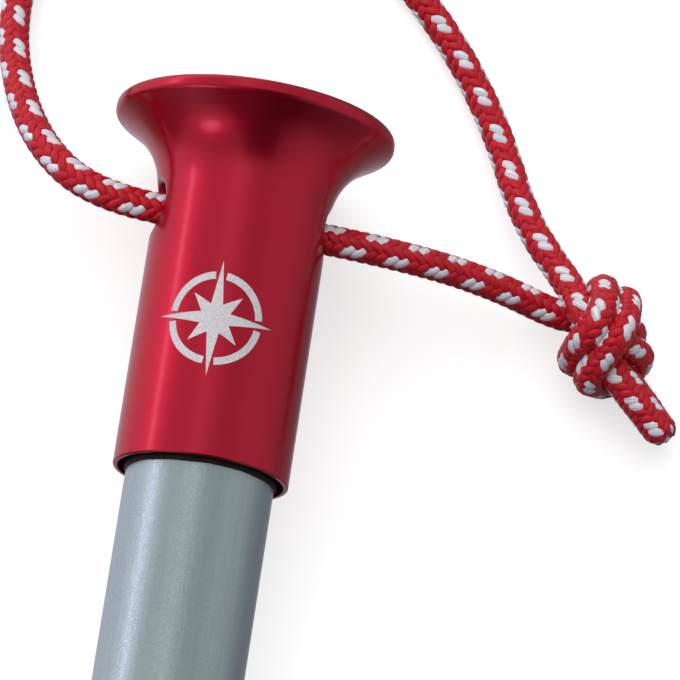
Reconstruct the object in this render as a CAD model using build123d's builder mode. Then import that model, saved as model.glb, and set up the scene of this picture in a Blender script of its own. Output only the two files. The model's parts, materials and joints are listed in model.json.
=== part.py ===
"""Tubular tent stake lying on flat ground, head toward +Y.

A thin-walled metal shaft carries a flared head at one end and a turned point at the other.  A
loop of braided cord runs through a cross hole in the head and is tied with a doubled overhand
knot.  The stake rests on the rim of its head and on the shoulder of its point, so its axis
climbs a little toward the head.  Origin: the centre of the stake's footprint, on the ground.
"""
from build123d import *
from math import asin, atan2, cos, degrees, hypot, pi, radians, sin, tan
import os

# ---- driving dimensions (mm) ----
stake_length = 152.0        # nose of the point to the strike face
shaft_radius = 4.5
shaft_wall = 0.6
bond_gap = 0.1              # radial thickness of both adhesive films

barrel_radius = 5.34
barrel_below_hole = 16.25   # cross hole down to the barrel's mouth
barrel_above_hole = 1.0     # cross hole up to where the flare starts
flare_radius = 4.7
rim_radius = 8.6
rim_round = 0.43            # both edges of the rim
rim_land = 0.18             # straight band between them
rim_above_hole = 6.0        # cross hole up to the middle of the rim
strike_radius = 6.2         # flat face that is hit or pushed
strike_rise = 0.45          # strike face above the rim's upper edge
mouth_recess_radius = 5.06  # lead-in around the shaft at the barrel's mouth
mouth_recess_depth = 1.8
socket_depth = 12.0         # mouth to the blind end of the shaft's socket
lip_round = 0.1
bond_groove_width = 0.8     # glue relief in the shaft, just inside the socket
bond_groove_depth = 0.2
hole_radius = 1.5
hole_mouth_round = 0.45

point_length = 14.0         # part of the point outside the shaft
point_shoulder = 2.0        # its full-diameter band
nose_radius = 0.9
spigot_length = 10.0        # part of the point inside the shaft
spigot_chamfer = 0.5

cord_diameter = 1.8
knot_long_radius = 3.9
knot_short_radius = 2.9
tail_spacing = 1.9
tail_end_round = 0.45

# ---- places worked out from them ----
rim_station = stake_length - strike_rise - rim_round - rim_land / 2
hole_station = rim_station - rim_above_hole
mouth_station = hole_station - barrel_below_hole
socket_end = mouth_station + socket_depth

# The ground touches the front edge of the point's shoulder and the rounded edge of the rim.
cone_start = point_length - point_shoulder
rim_centre_radius = rim_radius - rim_round
rest_run = rim_station - rim_land / 2 - cone_start
rest_rise = rim_centre_radius - shaft_radius
lean = atan2(rest_rise, rest_run) + asin(rim_round / hypot(rest_run, rest_rise))
rear_reach = stake_length * cos(lean) + strike_radius * sin(lean)
front_reach = nose_radius * (1 - cos(lean))
nose_y = -(rear_reach - front_reach) / 2
nose_z = shaft_radius * cos(lean) - cone_start * sin(lean)

nose_point = Vector(0, nose_y, nose_z)
axis_direction = Vector(0, cos(lean), sin(lean))
up_direction = Vector(0, -sin(lean), cos(lean))
stake_axis = Axis(nose_point, axis_direction)
# Sections are drawn as (radius, station from the nose), on the underside of the stake.
section_plane = Plane(origin=nose_point, x_dir=-up_direction, z_dir=(1, 0, 0))
hole_centre = nose_point + axis_direction * hole_station
hole_plane = Plane(origin=hole_centre, x_dir=axis_direction, z_dir=(1, 0, 0))
shaft_bore = shaft_radius - shaft_wall
socket_radius = shaft_radius + bond_gap
spigot_radius = shaft_bore - bond_gap


def bond_film(part_name, inner, outer, start, end):
    """A thin tube of adhesive about the stake's axis, between two stations."""
    with BuildPart() as film:
        with BuildSketch(section_plane):
            with BuildLine():
                Polyline((inner, start), (outer, start), (outer, end), (inner, end), close=True)
            make_face()
        revolve(axis=stake_axis)
    film.part.label = part_name
    return film.part


# ---- head: barrel, trumpet flare, rounded rim and flat strike face ----
rim_low = rim_station - rim_land / 2
rim_high = rim_station + rim_land / 2
flare_start = hole_station + barrel_above_hole
flare_centre = (barrel_radius + flare_radius, flare_start)
# The underside runs from the flare to the rim's lower round along their common tangent.
centre_run = rim_centre_radius - flare_centre[0]
centre_rise = rim_low - flare_centre[1]
centre_distance = hypot(centre_run, centre_rise)
tangent_turn = asin((flare_radius + rim_round) / centre_distance)
flare_angle = pi / 2 - (atan2(centre_rise, centre_run) - tangent_turn)


def on_flare(turn):
    """A point of the flare's arc, turned from where the arc leaves the barrel."""
    return (flare_centre[0] - flare_radius * cos(turn), flare_centre[1] + flare_radius * sin(turn))


def on_rim(centre_height, turn):
    """A point of a rim round, turned up from the horizontal."""
    return (rim_centre_radius + rim_round * cos(turn), centre_height + rim_round * sin(turn))


with BuildPart() as head:
    with BuildSketch(section_plane):
        with BuildLine():
            Polyline(
                (0, stake_length),
                (0, socket_end),
                (socket_radius, socket_end),
                (socket_radius, mouth_station + mouth_recess_depth),
                (mouth_recess_radius, mouth_station + mouth_recess_depth),
                (mouth_recess_radius, mouth_station),
                (barrel_radius - lip_round, mouth_station),
            )
            lip = RadiusArc((barrel_radius - lip_round, mouth_station),
                            (barrel_radius, mouth_station + lip_round), -lip_round)
            Line(lip @ 1, (barrel_radius, flare_start))
            flare = ThreePointArc((barrel_radius, flare_start), on_flare(flare_angle / 2),
                                  on_flare(flare_angle))
            Line(flare @ 1, on_rim(rim_low, -flare_angle))
            ThreePointArc(on_rim(rim_low, -flare_angle), on_rim(rim_low, -flare_angle / 2),
                          on_rim(rim_low, 0))
            Line(on_rim(rim_low, 0), on_rim(rim_high, 0))
            ThreePointArc(on_rim(rim_high, 0), on_rim(rim_high, pi / 4), on_rim(rim_high, pi / 2))
            Polyline(on_rim(rim_high, pi / 2), (strike_radius, stake_length), (0, stake_length))
        make_face()
    revolve(axis=stake_axis)
    with BuildSketch(hole_plane):
        Circle(hole_radius)
    extrude(amount=rim_radius, both=True, mode=Mode.SUBTRACT)
    fillet(head.edges(Select.LAST), hole_mouth_round)
head.part.label = "head"

# ---- shaft, point and the two adhesive films that join them ----
groove_start = mouth_station + mouth_recess_depth
groove_end = groove_start + bond_groove_width
with BuildPart() as shaft_tube:
    with BuildSketch(section_plane):
        with BuildLine():
            Polyline(
                (shaft_bore, point_length),
                (shaft_radius, point_length),
                (shaft_radius, groove_start),
                (shaft_radius - bond_groove_depth, groove_start),
                (shaft_radius - bond_groove_depth, groove_end),
                (shaft_radius, groove_end),
                (shaft_radius, socket_end),
                (shaft_bore, socket_end),
                close=True,
            )
        make_face()
    revolve(axis=stake_axis)
shaft_tube.part.label = "shaft_tube"
head_adhesive = bond_film("head_adhesive", shaft_radius, socket_radius, groove_end, socket_end)
tip_adhesive = bond_film("tip_adhesive", spigot_radius, shaft_bore,
                         point_length, point_length + spigot_length - spigot_chamfer)

nose_distance = hypot(cone_start - nose_radius, shaft_radius)
cone_angle = atan2(shaft_radius, cone_start - nose_radius) - asin(nose_radius / nose_distance)
nose_tangent = (nose_radius * cos(cone_angle), nose_radius - nose_radius * sin(cone_angle))
with BuildPart() as ground_tip:
    with BuildSketch(section_plane):
        with BuildLine():
            nose = RadiusArc((0, 0), nose_tangent, -nose_radius)
            Polyline(
                nose @ 1,
                (shaft_radius, cone_start),
                (shaft_radius, point_length),
                (spigot_radius, point_length),
                (spigot_radius, point_length + spigot_length - spigot_chamfer),
                (spigot_radius - spigot_chamfer, point_length + spigot_length),
                (0, point_length + spigot_length),
                (0, 0),
            )
        make_face()
    revolve(axis=stake_axis)
ground_tip.part.label = "ground_tip"

# ---- pull cord: from the knot, through the cross hole, round the head and back to the knot ----
ground_z = cord_diameter / 2 + 0.05
cord_points = [
    (22.0, 68.3, 2.8),
    (15.8, 69.2, 5.3),
    (8.9, 68.8, 8.3),
    (0.0, 68.9, 8.2),
    (-8.9, 68.7, 8.4),
    (-13.1, 72.3, 6.4),
    (-15.2, 78.9, 2.6),
    (-15.3, 85.0, ground_z),
    (-12.4, 91.3, ground_z),
    (-6.2, 95.3, ground_z),
    (1.0, 95.0, ground_z),
    (7.4, 90.8, ground_z),
    (12.4, 85.8, ground_z),
    (16.0, 80.4, 1.1),
    (18.2, 74.4, 2.5),
    (21.9, 69.7, 4.0),
]


def corner_radii(points, share=0.45):
    """The arc that each corner's shorter run leaves room for."""
    radii = []
    for before, corner, after in zip(points, points[1:], points[2:]):
        arriving = Vector(corner) - Vector(before)
        leaving = Vector(after) - Vector(corner)
        half_turn = radians(arriving.get_angle(leaving)) / 2
        radii.append(share * min(arriving.length, leaving.length) / tan(half_turn))
    return radii


cord_radii = corner_radii(cord_points)
with BuildPart() as pull_cord:
    with BuildLine() as cord_line:
        FilletPolyline(*cord_points, radius=cord_radii)
    cord_path = cord_line.wires()[0]
    with BuildSketch(Plane(origin=cord_path @ 0, z_dir=cord_path % 0)):
        Circle(cord_diameter / 2)
    sweep(path=cord_path)
pull_cord.part.label = "pull_cord"

# ---- knot and its two heat-sealed tails ----
knot_centre = Vector(24.1, 67.7, knot_short_radius + 0.05)
knot_direction = Vector(0.3, -1, 0).normalized()
tail_exit = Vector(26.0, 65.6, 2.05)
tail_direction = Vector(0.76, -0.62, -0.28).normalized()
tail_side = Vector(0.62, 0.76, 0).normalized()
tail_shapes = {              # offset from the exit's middle, length
    "tail_upper": (tail_spacing / 2, 3.9),
    "tail_lower": (-tail_spacing / 2, 3.5),
}
with BuildPart() as cord_knot:
    with BuildSketch(Plane(origin=knot_centre, x_dir=knot_direction, z_dir=(0, 0, 1))):
        Ellipse(knot_long_radius, knot_short_radius)
        Rectangle(2 * knot_long_radius, knot_short_radius, align=(Align.CENTER, Align.MAX),
                  mode=Mode.SUBTRACT)
    revolve(axis=Axis(knot_centre, knot_direction))
    # Each strand meets the knot on a flat of its own, and both tails share a third one.
    split(bisect_by=Plane(origin=cord_path @ 0, z_dir=cord_path % 0), keep=Keep.BOTTOM)
    split(bisect_by=Plane(origin=cord_path @ 1, z_dir=cord_path % 1), keep=Keep.TOP)
    split(bisect_by=Plane(origin=tail_exit, z_dir=tail_direction), keep=Keep.BOTTOM)
cord_knot.part.label = "cord_knot"

tails = []
for tail_name, (offset, length) in tail_shapes.items():
    start = tail_exit + tail_side * offset
    with BuildPart() as tail:
        with BuildSketch(Plane(origin=start, z_dir=tail_direction)):
            Circle(cord_diameter / 2)
        extrude(amount=length)
        fillet(tail.edges().sort_by(Axis(start, tail_direction))[-1], tail_end_round)
    tail.part.label = tail_name
    tails.append(tail.part)

# ---- files ----
os.makedirs("parts", exist_ok=True)
nodes = [head.part, shaft_tube.part, head_adhesive, tip_adhesive, ground_tip.part,
         pull_cord.part, cord_knot.part, *tails]
for node in nodes:
    export_step(node, f"parts/{node.label}.step")

section_area = pi * (cord_diameter / 2) ** 2
shaft_middle = nose_point + axis_direction * (cone_start + groove_start) / 2
strike_centre = nose_point + axis_direction * stake_length
print("lean", round(degrees(lean), 3), "deg; axis", axis_direction)
print("cross hole", hole_centre, "strike face", strike_centre)
print("bare shaft", round(groove_start - cone_start, 3), "long about", shaft_middle)
print("flare angle", round(degrees(flare_angle), 1), "deg")
print("cord length", round(cord_path.length, 2), "volume over section x length",
      round(pull_cord.part.volume / (section_area * cord_path.length), 4))
print("cord radii", [round(radius, 1) for radius in cord_radii])
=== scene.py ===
"""A tent stake with a red anodised head, an alloy tube and a braided pull cord, in a bright studio."""
import json
import math

import bmesh
import bpy
import numpy as np
from mathutils import Matrix, Vector


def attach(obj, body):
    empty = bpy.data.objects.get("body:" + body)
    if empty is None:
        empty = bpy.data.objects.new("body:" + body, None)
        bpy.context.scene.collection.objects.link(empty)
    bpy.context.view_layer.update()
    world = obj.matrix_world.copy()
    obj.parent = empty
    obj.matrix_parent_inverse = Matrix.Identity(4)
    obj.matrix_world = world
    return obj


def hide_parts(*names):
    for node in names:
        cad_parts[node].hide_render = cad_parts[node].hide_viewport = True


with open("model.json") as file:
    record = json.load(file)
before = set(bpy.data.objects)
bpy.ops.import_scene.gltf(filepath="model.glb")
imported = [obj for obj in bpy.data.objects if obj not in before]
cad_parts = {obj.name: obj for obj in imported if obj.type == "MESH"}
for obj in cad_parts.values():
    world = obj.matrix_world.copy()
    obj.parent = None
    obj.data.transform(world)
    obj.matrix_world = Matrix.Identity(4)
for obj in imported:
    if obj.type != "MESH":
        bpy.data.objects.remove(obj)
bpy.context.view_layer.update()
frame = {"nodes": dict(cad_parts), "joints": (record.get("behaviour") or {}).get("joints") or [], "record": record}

MM = 0.001

# ---------------------------------------------------------------- the frame's own places
mounts = {mount["name"]: mount for mount in frame["record"]["mounts"]}
along = Vector(mounts["strike_face"]["axis"])    # the stake's axis, from the point to the head
across = Vector((1, 0, 0))                       # the cross hole's axis
above = across.cross(along)
hole = Vector(frame["joints"][0]["pos_m"])       # where the two axes cross
lean = math.asin(along.z)

# ---------------------------------------------------------------- driving sizes, in metres
barrel_radius = 0.00534
cord_rest = 0.00095                              # height of the cord's centre where it lies on the ground

camera_turn = math.radians(7)                    # about the stake, to its left
camera_tilt = math.radians(15.92)                # from square on, towards the point
camera_roll = math.radians(8.68)
camera_distance = 0.350
camera_lens = 306
aim_right = 0.00706                              # what the camera aims at, from the cross hole
aim_down = 0.00646

# ---------------------------------------------------------------- the near-black bead at the barrel's mouth, painted shade of the mouth
shaft_radius = 0.0045
mouth_station = -0.01625                         # from the cross hole, along the stake
bead_profile = [                                 # millimetres off the shaft, and along it from the mouth
    (-0.05, 0.60),
    (0.10, 0.60),
    (0.12, -0.10),
    (0.09, -0.21),
    (-0.05, -0.27),
]
bead_sides = 144
bead_ripples = ((5, 0.020, 0.4), (13, 0.012, 1.9))    # waves round it, their height and their phase

# ---------------------------------------------------------------- the pull cord's route
cord_route = [
    (0.0220, 0.0683, 0.0028),
    (0.0158, 0.0692, 0.0053),
    (0.0089, 0.0688, 0.0083),
    (0.0000, 0.0689, 0.0082),
    (-0.0089, 0.0687, 0.0084),
    (-0.0131, 0.0723, 0.0064),
    (-0.0152, 0.0789, 0.0026),
    (-0.0153, 0.0850, cord_rest),
    (-0.0124, 0.0913, cord_rest),
    (-0.0062, 0.0953, cord_rest),
    (0.0010, 0.0950, cord_rest),
    (0.0074, 0.0908, cord_rest),
    (0.0124, 0.0858, cord_rest),
    (0.0160, 0.0804, 0.0011),
    (0.0182, 0.0744, 0.0025),
    (0.0219, 0.0697, 0.0040),
]

# ---------------------------------------------------------------- the knot
knot_centre = Vector((0.0235, 0.0669, 0.00325))
tail_direction = Vector((0.72, -0.66, -0.20)).normalized()
knot_roll = math.radians(69)                     # about the tails, from straight up
knot_start = -0.0026                             # where the windings begin, along the tails from the centre
tail_reach = (0.0075, 0.0072)                    # where the two tails end
half_pitch = 0.95                                # half the distance between the strands of the loose knot
pair_turn = -math.pi / 4                         # how the two strands lie beside each other where they begin
loose_knot = [                                   # an overhand knot, in millimetres, not yet pulled tight
    (-9.9, 0.0, 0.0),
    (-6.6, 0.0, 0.0),
    (-3.3, 0.0, 1.43),
    (1.1, 0.0, -1.54),
    (4.62, 1.54, -0.44),
    (4.62, 5.28, 1.76),
    (0.55, 7.04, 0.0),
    (-3.96, 4.62, -1.76),
    (-3.74, -0.44, -1.87),
    (-1.32, -3.08, 0.0),
    (1.54, -1.1, 1.87),
    (2.64, 2.42, 0.88),
    (5.5, 4.4, -2.09),
    (8.8, 2.75, -1.1),
    (12.1, 1.1, 0.0),
    (15.4, 0.0, 0.0),
]
knot_size = half_pitch / 1.1                     # that knot is drawn for a half pitch of 1.1
loose_steps = 60                                 # between two of its points
loose_spacing = 0.2
knot_steps = 1300
settle_steps = 80
rounds_each_step = 6
search_every = 5                                 # steps between two searches for contacts
settle_smoothing = 0.02
end_pull = 0.03                                  # how far each step pulls a tail, in millimetres
most_stretch = 1.12                              # a tail is pulled until its strand is stretched this much
backward_slope = -0.1                            # where a strand runs back on itself, inside the knot

# ---------------------------------------------------------------- the braid
carriers_each_way = 8
braid_lay = 0.00546                              # one turn of a carrier round the cord
knotted_lay = 0.0040                             # the same in the knot and tails, where the cover bunches up
knotted_run = 0.030                              # how much of each end that is
braid_start = -0.075                             # turns already made where the cord begins
steps_per_lay = 38
yarn_width = 0.00058
yarn_thick = 0.00025
yarn_sag = 0.00008                               # how far a yarn's edges curl in round the cord
yarn_middle = 0.00077                            # mean distance from the cord's centre
yarn_rise = 0.00009                              # how far a yarn goes out and in as it weaves
yarn_spread = 0.26                               # how much wider it is on top, and narrower underneath
yarn_shoulder = (0.55, 0.72)                     # of its half width and its crown, between edge and top
weave_phase = 0.5                                # where in the weave each yarn begins
weave_sharpness = 1.1                            # how quickly a yarn changes from over to under
braid_angle = math.radians(43)                   # between a yarn and the cord
yarn_shift = 7.3                                 # sets the fibres of each yarn apart from those of the next
tail_swell = 0.10                                # how much wider the cover is in the tails
swell_from = 6.5                                 # millimetres from the end, where half of that is reached
swell_slope = 2                                  # how suddenly it comes
tail_closing = 0.80                              # how far it rounds in at their ends
closing_run = 0.7                                # the last millimetres, over which it does so
core_radius = 0.00066
core_sides = 12
core_skip = 3                                    # the core has one ring for this many of the cover's
white_yarns = (0, 1, 4, 5)                       # the left-handed carriers with reflective yarn

# ---------------------------------------------------------------- the melted ends of the tails
seal_profile = [                                 # radius and height along the tail, in millimetres
    (0.0, 0.12),
    (0.22, 0.11),
    (0.38, 0.06),
    (0.46, -0.04),
    (0.46, -0.18),
    (0.34, -0.30),
    (0.0, -0.30),
]
seal_sides = 40
seal_ripples = ((3, 0.03, 1.0), (5, 0.02, 2.2))  # waves round it, their height and their phase
seal_tilt = 0.04


# ================================================================ camera
def add_camera():
    """Looks down on the head, square to the stake but for a small turn, tilt and roll."""
    out = above * math.cos(camera_turn) - across * math.sin(camera_turn)
    to_camera = out * math.cos(camera_tilt) - along * math.sin(camera_tilt)
    upright = along * math.cos(camera_tilt) + out * math.sin(camera_tilt)
    sideways = upright.cross(to_camera)
    aim = hole + sideways * aim_right - along * aim_down
    right = sideways * math.cos(camera_roll) + upright * math.sin(camera_roll)
    up = upright * math.cos(camera_roll) - sideways * math.sin(camera_roll)
    data = bpy.data.cameras.new("camera")
    data.lens = camera_lens
    data.clip_start = 0.01
    data.clip_end = 100
    camera = bpy.data.objects.new("camera", data)
    camera.matrix_world = Matrix.Translation(aim + to_camera * camera_distance) @ Matrix(
        (right, up, to_camera)).transposed().to_4x4()
    bpy.context.scene.collection.objects.link(camera)
    bpy.context.scene.camera = camera


# ================================================================ lines and frames
def resampled(points, spacing):
    """The same line as points an even distance apart."""
    reach = np.r_[0, np.cumsum(np.linalg.norm(np.diff(points, axis=0), axis=1))]
    stops = np.arange(int(reach[-1] / spacing) + 1) * spacing
    return np.stack([np.interp(stops, reach, points[:, k]) for k in range(3)], -1)


def smooth_line(points, steps):
    """A Catmull-Rom line through the points."""
    ends = np.vstack([2 * points[0] - points[1], points, 2 * points[-1] - points[-2]])
    share = np.linspace(0, 1, steps, endpoint=False)[:, None]
    spans = []
    for a, b, c, d in zip(ends, ends[1:], ends[2:], ends[3:]):
        spans.append(b + 0.5 * ((c - a) * share + (2 * a - 5 * b + 4 * c - d) * share ** 2
                                + (3 * b - a - 3 * c + d) * share ** 3))
    return np.vstack(spans + [points[-1:]])


def unit_rows(vectors):
    """The same vectors, each one long."""
    return vectors / np.linalg.norm(vectors, axis=1)[:, None]


def carried_normals(points, first):
    """Tangents of a line, and normals that are carried along it without twist."""
    tangents = unit_rows(np.gradient(points, axis=0))
    normals = np.zeros_like(points)
    normal = np.array(first, float)
    for k, tangent in enumerate(tangents):
        normal = normal - tangent * (normal @ tangent)
        normal /= np.linalg.norm(normal)
        normals[k] = normal
    return tangents, normals


# ================================================================ the knot, pulled tight
class StrandPair:
    """Two strands as chains of nodes that keep their spacing, resist bending and don't cross."""

    spacing = 0.5
    contact = 1.6                                # the soft braid gives a little where strands press
    bend_span = 4
    bend_chord = 1.75                            # the least distance between nodes that far apart
    bend_push = 0.25
    bend_smoothing = 0.05
    own_reach = 1.45                             # a strand touches itself only beyond this many contacts
    near = 3                                     # contacts are looked for within this many millimetres

    def __init__(self, strands):
        self.nodes = np.concatenate(strands)
        self.count = len(strands[0])
        strand = np.repeat([0, 1], [len(s) for s in strands])
        links = np.flatnonzero(strand[:-1] == strand[1:])
        self.links = (links[links % 2 == 0], links[links % 2 == 1])
        bends = np.arange(len(strand) - self.bend_span)
        self.bends = bends[strand[bends] == strand[bends + self.bend_span]]
        first, second = np.triu_indices(len(strand), 1)
        neighbours = math.ceil(self.own_reach * self.contact / self.spacing)
        apart = (strand[first] != strand[second]) | (second - first > neighbours)
        self.pairs = first[apart], second[apart]
        self.starts = [0, self.count]
        self.ends = [self.count - 1, len(strand) - 1]
        self.free = np.ones(len(strand))
        self.free[self.starts + self.ends] = 0

    def stretch(self):
        """How far each strand is stretched, as a mean of its links."""
        found = []
        for k in (0, 1):
            chain = self.nodes[self.starts[k]:self.ends[k] + 1]
            found.append(np.linalg.norm(np.diff(chain, axis=0), axis=1).mean() / self.spacing)
        return found

    def find_close(self):
        """The pairs of nodes that may touch within the next few steps."""
        first, second = self.pairs
        gap = np.linalg.norm(self.nodes[second] - self.nodes[first], axis=1)
        self.close = first[gap < self.near], second[gap < self.near]

    def hold_links(self):
        """Keeps neighbouring nodes their spacing apart."""
        for link in self.links:
            span = self.nodes[link + 1] - self.nodes[link]
            length = np.linalg.norm(span, axis=1)
            before, after = self.free[link], self.free[link + 1]
            move = ((length - self.spacing) / length / np.maximum(before + after, 1e-9))[:, None] * span
            self.nodes[link] += move * before[:, None]
            self.nodes[link + 1] -= move * after[:, None]

    def hold_bends(self):
        """Opens bends that are too tight."""
        first, last = self.bends, self.bends + self.bend_span
        span = self.nodes[last] - self.nodes[first]
        length = np.linalg.norm(span, axis=1)
        tight = length < self.bend_chord
        first, last, span, length = first[tight], last[tight], span[tight], length[tight]
        move = (self.bend_push * (self.bend_chord - length) / length)[:, None] * span
        np.add.at(self.nodes, first, -move * self.free[first][:, None])
        np.add.at(self.nodes, last, move * self.free[last][:, None])
        middle = first + self.bend_span // 2
        sag = (self.nodes[first] + self.nodes[last]) / 2 - self.nodes[middle]
        np.add.at(self.nodes, middle, sag * self.bend_smoothing * self.free[middle][:, None])

    def part_contacts(self):
        """Pushes strands apart where they press into each other."""
        first, second = self.close
        span = self.nodes[second] - self.nodes[first]
        square = (span * span).sum(1)
        touching = square < self.contact ** 2
        first, second, span = first[touching], second[touching], span[touching]
        length = np.sqrt(square[touching]) + 1e-9
        move = (0.5 * (self.contact - length) / length)[:, None] * span
        total = len(self.nodes)
        shares = np.bincount(first, minlength=total) + np.bincount(second, minlength=total)
        push = np.stack([np.bincount(second, move[:, k], total) - np.bincount(first, move[:, k], total)
                         for k in range(3)], 1)
        self.nodes += push * (self.free / np.sqrt(np.maximum(1, shares)))[:, None]

    def smooth(self, amount):
        """Moves every free node towards the middle of its neighbours."""
        middle = np.flatnonzero(self.free > 0)
        pull = (self.nodes[middle - 1] + self.nodes[middle + 1]) / 2 - self.nodes[middle]
        self.nodes[middle] += amount * pull

    def settle(self, rounds, smoothing=0.0):
        """Applies every rule in turn, contacts first and last."""
        for _ in range(rounds):
            self.part_contacts()
            self.hold_bends()
            self.hold_links()
            if smoothing:
                self.smooth(smoothing)
        self.part_contacts()


def tight_knot():
    """Both strands of an overhand knot in the doubled cord, in millimetres, with the tails towards +X."""
    middle = resampled(smooth_line(np.array(loose_knot) * knot_size, loose_steps), loose_spacing)
    _, normals = carried_normals(middle, (0, math.cos(pair_turn), math.sin(pair_turn)))
    strands = [resampled(middle + normals * side * half_pitch, StrandPair.spacing) for side in (1, -1)]
    pair = StrandPair(strands)
    for step in range(knot_steps):
        if step % search_every == 0:
            pair.find_close()
        for end, stretch in zip(pair.ends, pair.stretch()):
            if stretch < most_stretch:
                pair.nodes[end] += (end_pull, 0, 0)
        pair.settle(rounds_each_step)
    for step in range(settle_steps):
        if step % search_every == 0:
            pair.find_close()
        pair.settle(rounds_each_step, settle_smoothing)
    return pair.nodes[:pair.count], pair.nodes[pair.count:]


def knot_windings():
    """The two strands through the knot, in place, from where they enter it to the tails' ends."""
    strands = tight_knot()
    backwards = np.concatenate([s[np.gradient(s[:, 0]) < backward_slope] for s in strands])
    middle = np.array((backwards[:, 0].mean(), 0, 0))
    level = Vector((0, 0, 1)) - tail_direction * tail_direction.z
    level.normalize()
    side = level.cross(tail_direction)
    upward = side * math.cos(knot_roll) + level * math.sin(knot_roll)
    turn = np.array((tail_direction, upward, tail_direction.cross(upward)))
    placed = []
    for strand, reach in zip(strands, tail_reach):
        local = (strand - middle) * MM
        first = np.flatnonzero(local[:, 0] > knot_start)[0]
        last = np.flatnonzero(local[:, 0] > reach)[0]
        placed.append(np.array(knot_centre) + local[first:last] @ turn)
    return placed


# ================================================================ the cord
def cord_line():
    """The whole cord as one NURBS line: tail, knot, route round the stake, knot, tail."""
    near_strand, far_strand = knot_windings()
    points = np.vstack([far_strand[::-1], np.array(cord_route), near_strand])
    curve = bpy.data.curves.new("cord_line", "CURVE")
    curve.dimensions = "3D"
    curve.resolution_u = 24
    spline = curve.splines.new("NURBS")
    spline.points.add(len(points) - 1)
    for point, place in zip(spline.points, points):
        point.co = (*place, 1)
    spline.order_u = 3
    spline.use_endpoint_u = True
    holder = bpy.data.objects.new("cord_line", curve)
    mesh = bpy.data.meshes.new_from_object(holder)
    line = np.array([v.co for v in mesh.vertices])
    bpy.data.objects.remove(holder)
    bpy.data.meshes.remove(mesh)
    return even_turns(line)


def even_turns(line):
    """The line as points a fixed part of a carrier's turn apart."""
    reach = np.r_[0, np.cumsum(np.linalg.norm(np.diff(line, axis=0), axis=1))]
    from_end = np.minimum(reach, reach[-1] - reach)
    loose = 1 / (1 + np.exp((knotted_run - from_end) / MM))
    lay = knotted_lay + (braid_lay - knotted_lay) * loose
    turns = np.r_[0, np.cumsum(np.diff(reach) / lay[1:])]
    stops = np.arange(int(turns[-1] * steps_per_lay) + 1) / steps_per_lay
    return np.stack([np.interp(stops, turns, line[:, k]) for k in range(3)], -1)


def new_piece(name, vertices, faces, material, body):
    """A smooth mesh piece that rides on a body."""
    mesh = bpy.data.meshes.new(name)
    mesh.from_pydata([tuple(v) for v in vertices], [], [tuple(f) for f in faces])
    mesh.update()
    mesh.shade_smooth()
    mesh.materials.append(material)
    piece = bpy.data.objects.new(name, mesh)
    bpy.context.scene.collection.objects.link(piece)
    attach(piece, body)
    return piece


def tube_faces(rings, sides, start=0):
    """Quads between rings of vertices, and a cap at each end."""
    ring = np.arange(rings - 1)[:, None] * sides
    corner = np.arange(sides)[None]
    following = (corner + 1) % sides
    quads = np.stack([ring + corner, ring + following, ring + sides + following, ring + sides + corner], -1)
    faces = (quads.reshape(-1, 4)[:, ::-1] + start).tolist()
    faces.append((start + np.arange(sides)).tolist())
    faces.append((start + (rings - 1) * sides + np.arange(sides))[::-1].tolist())
    return faces


def swept(centres, width_ways, thick_ways, outline):
    """An outline of (across, outwards) pairs swept along a line of centres, ring by ring."""
    rings = [centres + width_ways * x + thick_ways * y for x, y in outline]
    return np.stack(rings, 1).reshape(-1, 3)


def cover_swell(line):
    """How far out the cover lies along the cord: wider in the tails, rounded in at their ends."""
    reach = np.r_[0, np.cumsum(np.linalg.norm(np.diff(line, axis=0), axis=1))] / MM
    from_end = np.minimum(reach, reach[-1] - reach)
    wider = 1 + tail_swell / (1 + np.exp(swell_slope * (from_end - swell_from)))
    return wider * np.sqrt(1 - tail_closing * (1 - np.minimum(from_end / closing_run, 1)) ** 2)


def yarn_centres(number, way, normals, sides, line, turns, swell):
    """A carrier's yarn, two over and two under, with its outward direction and its height in the weave."""
    angle = 2 * math.pi * (number / carriers_each_way + way * turns)
    crossing = 2 * carriers_each_way * turns
    weave = way * np.cos(math.pi / 2 * (2 * number + way * crossing - weave_phase))
    over = np.tanh(weave_sharpness * weave) / math.tanh(weave_sharpness)
    outward = normals * np.cos(angle)[:, None] + sides * np.sin(angle)[:, None]
    return line + outward * (yarn_middle * swell + yarn_rise * over)[:, None], outward, over


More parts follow.
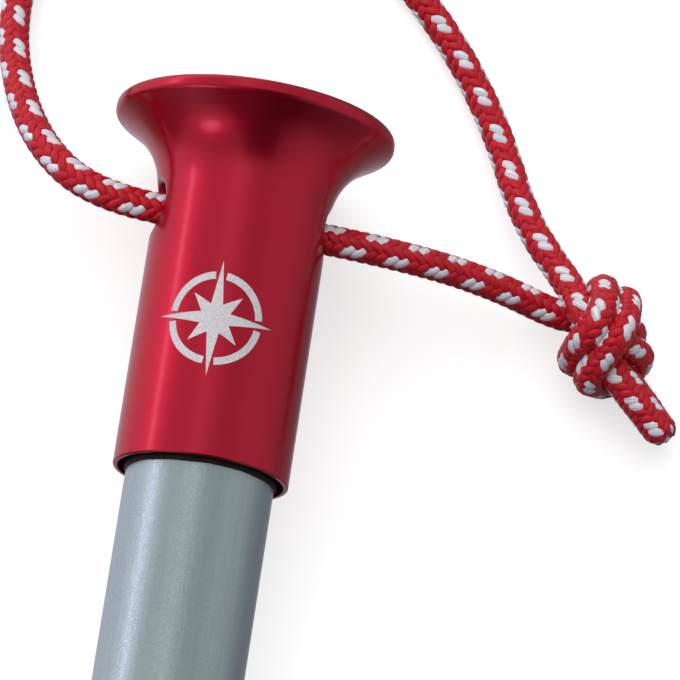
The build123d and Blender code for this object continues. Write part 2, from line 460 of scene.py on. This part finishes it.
def add_braid(line):
    """The cord's cover: eight yarns wound each way, in red and in white."""
    tangents, normals = carried_normals(line, above)
    sides = np.cross(tangents, normals)
    turns = np.arange(len(line)) / steps_per_lay + braid_start
    swell = cover_swell(line)
    half, crown = yarn_width / 2, yarn_thick / 2
    out, up = yarn_shoulder
    outline = [(-half, -yarn_sag), (-half * out, crown * up), (0, crown), (half * out, crown * up),
               (half, -yarn_sag), (0, -crown)]
    across_yarn = np.tile([-1, -out, 0, out, 1, 0], len(line))
    along_yarn = np.repeat(turns * braid_lay / math.cos(braid_angle) / MM, len(outline))
    cover = {"cord_cover_red": [], "cord_cover_white": []}
    for way in (1, -1):
        for number in range(carriers_each_way):
            centres, outward, over = yarn_centres(number, way, normals, sides, line, turns, swell)
            heading = unit_rows(np.gradient(centres, axis=0))
            width_ways = unit_rows(np.cross(heading, outward))
            thick_ways = np.cross(width_ways, heading)
            width_ways *= (1 + yarn_spread * over)[:, None]
            white = way == -1 and number in white_yarns
            key = "cord_cover_white" if white else "cord_cover_red"
            cover[key].append(swept(centres, width_ways, thick_ways, outline))
    made = []
    for name, yarns in cover.items():
        size = len(line) * len(outline)
        faces = [face for k in range(len(yarns)) for face in tube_faces(len(line), len(outline), k * size)]
        piece = new_piece(name, np.concatenate(yarns), faces, yarn_material(name), "pull_loop")
        for label, values in (("yarn_across", across_yarn), ("yarn_along", along_yarn)):
            attribute = piece.data.attributes.new(label, "FLOAT", "POINT")
            shifted = [values + yarn_shift * k * (label == "yarn_along") for k in range(len(yarns))]
            attribute.data.foreach_set("value", np.concatenate(shifted).astype(np.float32))
        made.append(piece)
    return made


def add_core(line):
    """The core that the cover is braided round."""
    line = line[::core_skip]
    tangents, normals = carried_normals(line, above)
    corners = [2 * math.pi * k / core_sides for k in range(core_sides)]
    outline = [(core_radius * math.cos(a), core_radius * math.sin(a)) for a in corners]
    sides = np.cross(tangents, normals)
    swell = cover_swell(line)[:, None]
    vertices = swept(line, normals * swell, sides * swell, outline)
    faces = tube_faces(len(line), core_sides)
    return new_piece("cord_core", vertices, faces, core_material(), "pull_loop")


def waves(parts, angle):
    """A sum of sine waves round a circle."""
    return sum(height * math.sin(count * angle + phase) for count, height, phase in parts)


def add_seals(line):
    """The melted ends of the two tails: rounded buttons that hold the yarns together."""
    vertices, faces = [], []
    for end, direction in ((line[-1], line[-1] - line[-4]), (line[0], line[0] - line[3])):
        out = Vector(direction).normalized()
        right = out.orthogonal().normalized()
        up = out.cross(right)
        start = len(vertices)
        for radius, height in seal_profile:
            for k in range(seal_sides if radius else 1):
                angle = 2 * math.pi * k / seal_sides
                spread = radius * (1 + waves(seal_ripples, angle)) * MM
                lift = (height + seal_tilt * math.sin(2 * angle + 0.6) * radius) * MM
                vertices.append(Vector(end) + right * (spread * math.cos(angle))
                                + up * (spread * math.sin(angle)) + out * lift)
        top, bottom = start, len(vertices) - 1
        rings = [start + 1 + seal_sides * k for k in range(len(seal_profile) - 2)]
        for k in range(seal_sides):
            n = (k + 1) % seal_sides
            faces.append((top, rings[0] + k, rings[0] + n))
            for upper, lower in zip(rings, rings[1:]):
                faces.append((upper + k, lower + k, lower + n, upper + n))
            faces.append((bottom, rings[-1] + n, rings[-1] + k))
    return new_piece("tail_seals", vertices, faces, seal_material(), "pull_loop")


def add_cord():
    """The cord's cover, core and melted ends, all riding on the pull loop's body; the CAD cord pieces are hidden.
    """
    line = cord_line()
    red, white = add_braid(line)
    core = add_core(line)
    seals = add_seals(line)
    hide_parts("pull_cord", "cord_knot", "tail_upper", "tail_lower")


# ================================================================ materials
class Nodes:
    """The nodes of a material or a world, added one by one."""

    def __init__(self, owner):
        owner.use_nodes = True
        self.owner = owner
        self.tree = owner.node_tree
        self.shader = self.tree.nodes.get("Principled BSDF")

    def add(self, kind, inputs=None, **settings):
        node = self.tree.nodes.new(kind)
        for key, value in settings.items():
            setattr(node, key, value)
        for key, value in (inputs or {}).items():
            self.put(node, key, value)
        return node

    def put(self, node, key, value):
        if isinstance(value, bpy.types.NodeSocket):
            self.tree.links.new(value, node.inputs[key])
        else:
            node.inputs[key].default_value = value

    def set(self, **values):
        for key, value in values.items():
            self.put(self.shader, key.replace("_", " "), value)

    def stake_place(self, stretch=(1, 1, 1)):
        """The object's own coordinates, turned so that Y runs along the stake, and stretched."""
        place = self.add("ShaderNodeTexCoord").outputs["Object"]
        turned = self.add("ShaderNodeVectorRotate", {"Vector": place, "Angle": -lean},
                          rotation_type="X_AXIS").outputs[0]
        return self.add("ShaderNodeVectorMath", {0: turned, 1: stretch}, operation="MULTIPLY").outputs[0]

    def noise(self, place, scale=1.0, detail=3.0, roughness=0.6):
        return self.add("ShaderNodeTexNoise", {"Vector": place, "Scale": scale, "Detail": detail,
                                               "Roughness": roughness}).outputs["Fac"]

    def remap(self, value, low, high, to_low, to_high, curve="LINEAR"):
        return self.add("ShaderNodeMapRange", {"Value": value, "From Min": low, "From Max": high,
                                               "To Min": to_low, "To Max": to_high},
                        interpolation_type=curve).outputs["Result"]

    def math(self, operation, first, second):
        return self.add("ShaderNodeMath", {0: first, 1: second}, operation=operation).outputs[0]

    def mix(self, share, first, second):
        node = self.add("ShaderNodeMix", data_type="RGBA")
        self.put(node, 0, share)
        self.put(node, 6, first)
        self.put(node, 7, second)
        return node.outputs[2]

    def bump(self, height, strength, distance):
        return self.add("ShaderNodeBump", {"Height": height, "Strength": strength,
                                           "Distance": distance}).outputs["Normal"]


def anodised_material():
    """Red anodised aluminium: fine turned lines round the head under a clear satin dye."""
    n = Nodes(bpy.data.materials.new("anodised_red"))
    turning = n.noise(n.stake_place((60, 9000, 60)), detail=2)
    clouds = n.noise(n.stake_place((220, 90, 220)), detail=2)
    grain = n.noise(n.stake_place((9000, 9000, 9000)), detail=2)
    colour = n.mix(n.remap(clouds, 0.3, 0.7, 0, 1), (0.55, 0.006, 0.032, 1), (0.61, 0.007, 0.038, 1))
    fine = n.math("ADD", turning, grain)
    n.set(Base_Color=colour, Metallic=1.0, Roughness=n.remap(turning, 0.3, 0.7, 0.34, 0.42),
          Specular_Tint=(0.58, 0.08, 0.30, 1), Normal=n.bump(fine, 0.06, 0.00001),
          Coat_Weight=1.0, Coat_Roughness=0.17, Coat_IOR=1.33)
    return n.owner


def tube_material():
    """Drawn alloy tube, hard anodised grey-green: a fine sparkling grain over faint lengthwise marks."""
    n = Nodes(bpy.data.materials.new("shaft_alloy"))
    streaks = n.noise(n.stake_place((5200, 260, 5200)), detail=4)
    long_streaks = n.noise(n.stake_place((1600, 18, 1600)), detail=3)
    grain = n.noise(n.stake_place((12000, 8000, 12000)), detail=2)
    tone = n.mix(n.remap(long_streaks, 0.3, 0.7, 0, 1), (0.335, 0.44, 0.45, 1), (0.385, 0.50, 0.51, 1))
    tone = n.mix(n.remap(streaks, 0.35, 0.7, 0, 0.3), tone, (0.50, 0.60, 0.60, 1))
    colour = n.mix(n.remap(grain, 0.35, 0.65, 0, 0.5), tone, (0.53, 0.62, 0.62, 1))
    n.set(Base_Color=colour, Metallic=1.0, Roughness=n.remap(grain, 0.3, 0.7, 0.38, 0.24),
          Normal=n.bump(n.math("ADD", streaks, grain), 0.5, 0.00002))
    return n.owner


def tip_material():
    """The turned ground point, in the bare alloy, with marks of soil along the cone."""
    n = Nodes(bpy.data.materials.new("tip_alloy"))
    turning = n.noise(n.stake_place((40, 6000, 40)), detail=3)
    stain = n.noise(n.stake_place((500, 300, 500)), detail=4)
    colour = n.mix(n.remap(stain, 0.45, 0.7, 0, 1), (0.47, 0.48, 0.47, 1), (0.30, 0.29, 0.27, 1))
    n.set(Base_Color=colour, Metallic=1.0, Roughness=n.remap(turning, 0.3, 0.7, 0.28, 0.46),
          Normal=n.bump(turning, 0.3, 0.00002))
    return n.owner


def adhesive_material():
    """Cured epoxy in the joints, dark amber and a little cloudy."""
    n = Nodes(bpy.data.materials.new("adhesive"))
    clouds = n.noise(n.stake_place((900, 900, 900)), detail=3)
    colour = n.mix(n.remap(clouds, 0.3, 0.7, 0, 1), (0.10, 0.055, 0.02, 1), (0.16, 0.10, 0.045, 1))
    n.set(Base_Color=colour, Roughness=0.35, Normal=n.bump(clouds, 0.2, 0.00005))
    return n.owner


def painted_shade_bead_material():
    """A bead like adhesive squeezed out of the joint, coloured near black: painted shade of the barrel's mouth."""
    n = Nodes(bpy.data.materials.new("painted_shade_bead"))
    lumps = n.noise(n.stake_place((2500, 2500, 2500)), detail=3)
    # near-black colours with faint lumps: painted shade of the barrel's mouth
    colour = n.mix(n.remap(lumps, 0.3, 0.7, 0, 1), (0.008, 0.003, 0.004, 1), (0.022, 0.012, 0.013, 1))
    n.set(Base_Color=colour, Roughness=0.6, Specular_IOR_Level=0.2, Normal=n.bump(lumps, 0.3, 0.00004))
    return n.owner


def yarn_place(n, fibres, length):
    """Coordinates in a yarn: across it in fibres and along it in millimetres."""
    yarn = n.add("ShaderNodeAttribute", attribute_name="yarn_across").outputs["Fac"]
    run = n.add("ShaderNodeAttribute", attribute_name="yarn_along").outputs["Fac"]
    place = {"X": n.math("MULTIPLY", yarn, fibres), "Y": n.math("MULTIPLY", run, length)}
    return n.add("ShaderNodeCombineXYZ", place).outputs[0]


def yarn_material(name):
    """Twisted polyester filaments, in dyed red or in silver-white."""
    white = name.endswith("white")
    n = Nodes(bpy.data.materials.new(name))
    fibres = n.noise(yarn_place(n, 5.0, 0.9), detail=3)
    shade = n.noise(yarn_place(n, 0.8, 0.5), detail=2)
    if white:
        dark, pale = (0.40, 0.40, 0.46, 1), (0.88, 0.87, 0.91, 1)
    else:
        dark, pale = (0.24, 0.0015, 0.007, 1), (0.68, 0.007, 0.024, 1)
    colour = n.mix(n.remap(fibres, 0.3, 0.7, 0, 1), dark, pale)
    colour = n.mix(n.remap(shade, 0.35, 0.75, 0, 0.35), colour, dark)
    n.set(Base_Color=colour, Roughness=0.36, Specular_IOR_Level=0.32, Sheen_Weight=0.03, Sheen_Roughness=0.4,
          Normal=n.bump(fibres, 0.7, 0.00004))
    return n.owner


def core_material():
    """The matt red fibres under the cover."""
    n = Nodes(bpy.data.materials.new("cord_core"))
    fibres = n.noise(n.add("ShaderNodeTexCoord").outputs["Object"], 2500, 3)
    n.set(Base_Color=n.mix(fibres, (0.10, 0.002, 0.006, 1), (0.26, 0.005, 0.014, 1)), Roughness=0.8,
          Normal=n.bump(fibres, 0.5, 0.00005))
    return n.owner


def seal_material():
    """Polyester melted at the cut: smooth, darker and slightly glossy."""
    n = Nodes(bpy.data.materials.new("melted_cord"))
    lumps = n.noise(n.add("ShaderNodeTexCoord").outputs["Object"], 1800, 3)
    n.set(Base_Color=n.mix(lumps, (0.30, 0.004, 0.012, 1), (0.55, 0.03, 0.05, 1)), Roughness=0.32,
          Normal=n.bump(lumps, 0.5, 0.00008))
    return n.owner


def etched_material():
    """Laser-etched metal: pale, matt and slightly speckled."""
    n = Nodes(bpy.data.materials.new("etched_mark"))
    speckle = n.noise(n.stake_place((9000, 9000, 9000)), detail=3)
    colour = n.mix(n.remap(speckle, 0.35, 0.65, 0, 1), (0.44, 0.42, 0.44, 1), (0.62, 0.60, 0.62, 1))
    n.set(Base_Color=colour, Metallic=0.15, Roughness=0.6, Normal=n.bump(speckle, 0.2, 0.00002))
    return n.owner


def floor_material():
    """A pale studio table that glows a little, so that shadows on it stay faint."""
    n = Nodes(bpy.data.materials.new("floor"))
    clouds = n.noise(n.add("ShaderNodeTexCoord").outputs["Object"], 30, 2)
    n.set(Base_Color=n.mix(clouds, (0.53, 0.53, 0.53, 1), (0.57, 0.57, 0.57, 1)), Roughness=0.8,
          Emission_Color=(1, 1, 1, 1), Emission_Strength=0.6)
    return n.owner


def dress_cad():
    """Gives the CAD nodes that stay in view their finishes."""
    finishes = {
        "head": anodised_material(),
        "shaft_tube": tube_material(),
        "ground_tip": tip_material(),
        "head_adhesive": adhesive_material(),
    }
    finishes["tip_adhesive"] = finishes["head_adhesive"]
    for name, finish in finishes.items():
        node = frame["nodes"][name]
        for material_slot in node.material_slots:
            material_slot.material = finish


# ================================================================ the etched mark
ring_radius = 0.0029
ring_width = 0.00045
ring_gap = math.radians(7)                       # each side of a long point
star_reaches = (0.0036, 0.0021)                  # the long points and the short ones between them
star_waist = 0.00095
mark_station = -0.0078                           # from the cross hole, along the stake
mark_turn = math.radians(-12.5)                  # round the barrel, from straight up
mark_lift = 0.000012
mark_sink = 0.00003
mark_strips = 30
arc_steps = 18                                   # in each quarter of the ring


def mark_outlines():
    """A compass star inside four arcs, as flat polygons: a plain decoration with no meaning."""
    def spot(radius, angle):
        return (radius * math.cos(angle), radius * math.sin(angle), 0)

    shapes = []
    eighth = math.pi / 8
    star = []
    for k in range(16):
        star.append(spot(star_waist if k % 2 else star_reaches[k // 2 % 2], k * eighth))
    for here, after in zip(star, star[1:] + star[:1]):
        shapes.append([(0, 0, 0), here, after])
    step = (math.pi / 2 - 2 * ring_gap) / arc_steps
    for quarter in range(4):
        start = quarter * math.pi / 2 + ring_gap
        for k in range(arc_steps):
            a, b = start + k * step, start + (k + 1) * step
            inner = ring_radius - ring_width
            shapes.append([spot(inner, a), spot(ring_radius, a), spot(ring_radius, b), spot(inner, b)])
    return shapes


def add_mark():
    """The mark as a thin plate let into the barrel, cut into narrow strips so that it follows the curve."""
    shape = bmesh.new()
    for outline in mark_outlines():
        shape.faces.new([shape.verts.new(corner) for corner in outline])
    bmesh.ops.remove_doubles(shape, verts=shape.verts, dist=1e-7)
    for k in range(1, mark_strips):
        x = star_reaches[0] * (2 * k / mark_strips - 1)
        bmesh.ops.bisect_plane(shape, geom=shape.verts[:] + shape.edges[:] + shape.faces[:],
                               plane_co=(x, 0, 0), plane_no=(1, 0, 0))
    raised = bmesh.ops.extrude_face_region(shape, geom=shape.faces[:])["geom"]
    top = {item for item in raised if isinstance(item, bmesh.types.BMVert)}
    for vertex in shape.verts:
        radius = barrel_radius + (mark_lift if vertex in top else -mark_sink)
        angle = mark_turn + vertex.co.x / barrel_radius
        out = above * math.cos(angle) + across * math.sin(angle)
        vertex.co = hole + along * (mark_station + vertex.co.y) + out * radius
    bmesh.ops.recalc_face_normals(shape, faces=shape.faces)
    mesh = bpy.data.meshes.new("etched_mark")
    shape.to_mesh(mesh)
    shape.free()
    mesh.materials.append(etched_material())
    piece = bpy.data.objects.new("etched_mark", mesh)
    bpy.context.scene.collection.objects.link(piece)
    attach(piece, "stake")


def add_painted_shade_bead():
    """A near-black bead round the shaft, where it goes into the barrel: painted shade of the barrel's mouth."""
    corners = len(bead_profile)
    vertices, faces = [], []
    for k in range(bead_sides):
        angle = 2 * math.pi * k / bead_sides
        out = above * math.cos(angle) + across * math.sin(angle)
        ripple = waves(bead_ripples, angle)
        for height, place in bead_profile:
            station = mouth_station + (place + ripple) * MM
            vertices.append(hole + along * station + out * (shaft_radius + height * MM))
        here, after = k * corners, (k + 1) % bead_sides * corners
        for j in range(corners):
            n = (j + 1) % corners
            faces.append((here + j, here + n, after + n, after + j))
    new_piece("painted_shade_bead", vertices, faces, painted_shade_bead_material(), "stake")


# ================================================================ studio
light_round = [                                  # degrees round the stake from straight up, and brightness
    (-180, 0.62), (-130, 0.80), (-98, 0.88), (-78, 0.78), (-50, 0.60), (-34, 0.62), (-18, 0.91), (-6, 0.70),
    (6, 0.47), (22, 0.46), (38, 0.55), (64, 0.53), (86, 0.46), (106, 0.28), (140, 0.25), (180, 0.62),
]
front_gap = [                                    # sideways direction beyond the point, and brightness
    (-1.0, 0.62), (-0.36, 0.66), (-0.22, 0.08), (0.20, 0.05), (0.54, 0.70), (0.80, 1.0), (1.0, 1.0),
]
gap_start = (-0.08, -0.50)                       # of a direction's part along the stake, where that fades in
side_gap = Vector((-0.66, -0.50, -0.56)).normalized()
side_gap_reach = (12, 33)                        # degrees from its middle: full up to 12, gone by 33
side_gap_light = 0.25
long_lamp_left = (-85, -83)                      # degrees round the stake, over which the lamp's edge fades
long_lamp_right = (-79, -77)
long_lamp_end = (-0.05, 0.2)                     # of a direction's part along the stake, where it fades in
long_lamp_light = 2.7
lamp_way = Vector((-0.59, -0.78, 0.20)).normalized()
lamp_reach = (2, 11)
lamp_light = 2.5
lamp_colour = (1.12, 0.87, 1.30)                 # of both lamps
low_colour = (0.99, 0.94, 1.07, 1)               # of the light from below
low_start = (0.3, -0.5)                          # of a direction's upward part, where that fades in
overhead_way = Vector((0.35, -0.35, -0.87))
overhead_power = 2.0
overhead_spread = math.radians(70)
floor_reach = 1.5
dome_radius = 5


def ramp(n, value, stops):
    """An eased curve through (value, brightness) stops."""
    low, high = stops[0][0], stops[-1][0]
    node = n.add("ShaderNodeValToRGB", {"Fac": n.remap(value, low, high, 0, 1)})
    node.color_ramp.interpolation = "EASE"
    elements = node.color_ramp.elements
    for place, _ in stops[1:-1]:
        elements.new((place - low) / (high - low))
    for element, (place, brightness) in zip(elements, stops):
        element.color = (brightness, brightness, brightness, 1)
    return node.outputs["Color"]


def near(n, way, centre, reach, at_centre, away):
    """A soft round patch about a direction, which fades from its inner to its outer radius in degrees."""
    inner, outer = reach
    facing = n.add("ShaderNodeVectorMath", {0: way, 1: centre}, operation="DOT_PRODUCT").outputs["Value"]
    return n.remap(facing, math.cos(math.radians(outer)), math.cos(math.radians(inner)), away, at_centre,
                   "SMOOTHSTEP")


def add_world():
    """Soft light all round: brighter on the left, where a long narrow lamp lies beside the stake, with
    dark gaps beyond the point and low on the left, and one small lamp in front."""
    world = bpy.data.worlds.new("studio")
    n = Nodes(world)
    way = n.add("ShaderNodeTexCoord").outputs["Generated"]
    parts = n.add("ShaderNodeSeparateXYZ", {"Vector": way}).outputs
    turn = n.math("MULTIPLY", n.math("ARCTAN2", parts["X"], parts["Z"]), 180 / math.pi)
    in_front = n.remap(parts["Y"], *gap_start, 0, 1, "SMOOTHSTEP")
    gap = n.remap(in_front, 0, 1, 1, ramp(n, parts["X"], front_gap))
    light = n.math("MULTIPLY", ramp(n, turn, light_round), gap)
    light = n.math("MULTIPLY", light, near(n, way, side_gap, side_gap_reach, side_gap_light, 1))
    left_edge = n.remap(turn, *long_lamp_left, 0, 1, "SMOOTHSTEP")
    right_edge = n.remap(turn, *long_lamp_right, long_lamp_light, 0, "SMOOTHSTEP")
    lamp_end = n.remap(parts["Y"], *long_lamp_end, 0, 1, "SMOOTHSTEP")
    long_lamp = n.math("MULTIPLY", n.math("MULTIPLY", left_edge, right_edge), lamp_end)
    lamps = n.math("ADD", long_lamp, near(n, way, lamp_way, lamp_reach, lamp_light, 0))
    tinted = n.add("ShaderNodeVectorMath", {0: lamp_colour, "Scale": lamps}, operation="SCALE").outputs[0]
    tone = n.mix(n.remap(parts["Z"], *low_start, 0, 1, "SMOOTHSTEP"), (1, 1, 1, 1), low_colour)
    soft = n.add("ShaderNodeVectorMath", {0: tone, "Scale": light}, operation="SCALE").outputs[0]
    total = n.add("ShaderNodeVectorMath", {0: soft, 1: tinted}, operation="ADD").outputs[0]
    n.put(n.tree.nodes["Background"], "Color", total)
    bpy.context.scene.world = world


def add_key():
    """A broad soft lamp overhead, for the floor and the cord, which the metals don't reflect."""
    data = bpy.data.lights.new("overhead", "SUN")
    data.energy = overhead_power
    data.angle = overhead_spread
    light = bpy.data.objects.new("overhead", data)
    light.rotation_mode = "QUATERNION"
    light.rotation_quaternion = overhead_way.to_track_quat("-Z", "Y")
    light.visible_glossy = False
    bpy.context.scene.collection.objects.link(light)


def add_floor():
    """The table under the stake, which the stake itself doesn't reflect."""
    mesh = bpy.data.meshes.new("floor")
    corners = [(x * floor_reach, y * floor_reach, 0) for x, y in ((-1, -1), (1, -1), (1, 1), (-1, 1))]
    mesh.from_pydata(corners, [], [(0, 1, 2, 3)])
    mesh.materials.append(floor_material())
    floor = bpy.data.objects.new("floor", mesh)
    floor.visible_glossy = False
    floor.visible_diffuse = False
    bpy.context.scene.collection.objects.link(floor)


def add_backdrop():
    """A plain white dome far outside everything, which only the camera sees."""
    shape = bmesh.new()
    bmesh.ops.create_icosphere(shape, subdivisions=4, radius=dome_radius)
    mesh = bpy.data.meshes.new("backdrop")
    shape.to_mesh(mesh)
    shape.free()
    n = Nodes(bpy.data.materials.new("backdrop"))
    n.set(Base_Color=(0, 0, 0, 1), Specular_IOR_Level=0.0, Emission_Color=(1, 1, 1, 1),
          Emission_Strength=1.0)
    mesh.materials.append(n.owner)
    dome = bpy.data.objects.new("backdrop", mesh)
    dome.visible_diffuse = False
    dome.visible_glossy = False
    dome.visible_transmission = False
    dome.visible_shadow = False
    bpy.context.scene.collection.objects.link(dome)


add_camera()
add_cord()
dress_cad()
add_mark()
add_painted_shade_bead()
add_world()
add_key()
add_floor()
add_backdrop()
bpy.context.scene.view_settings.view_transform = "Standard"
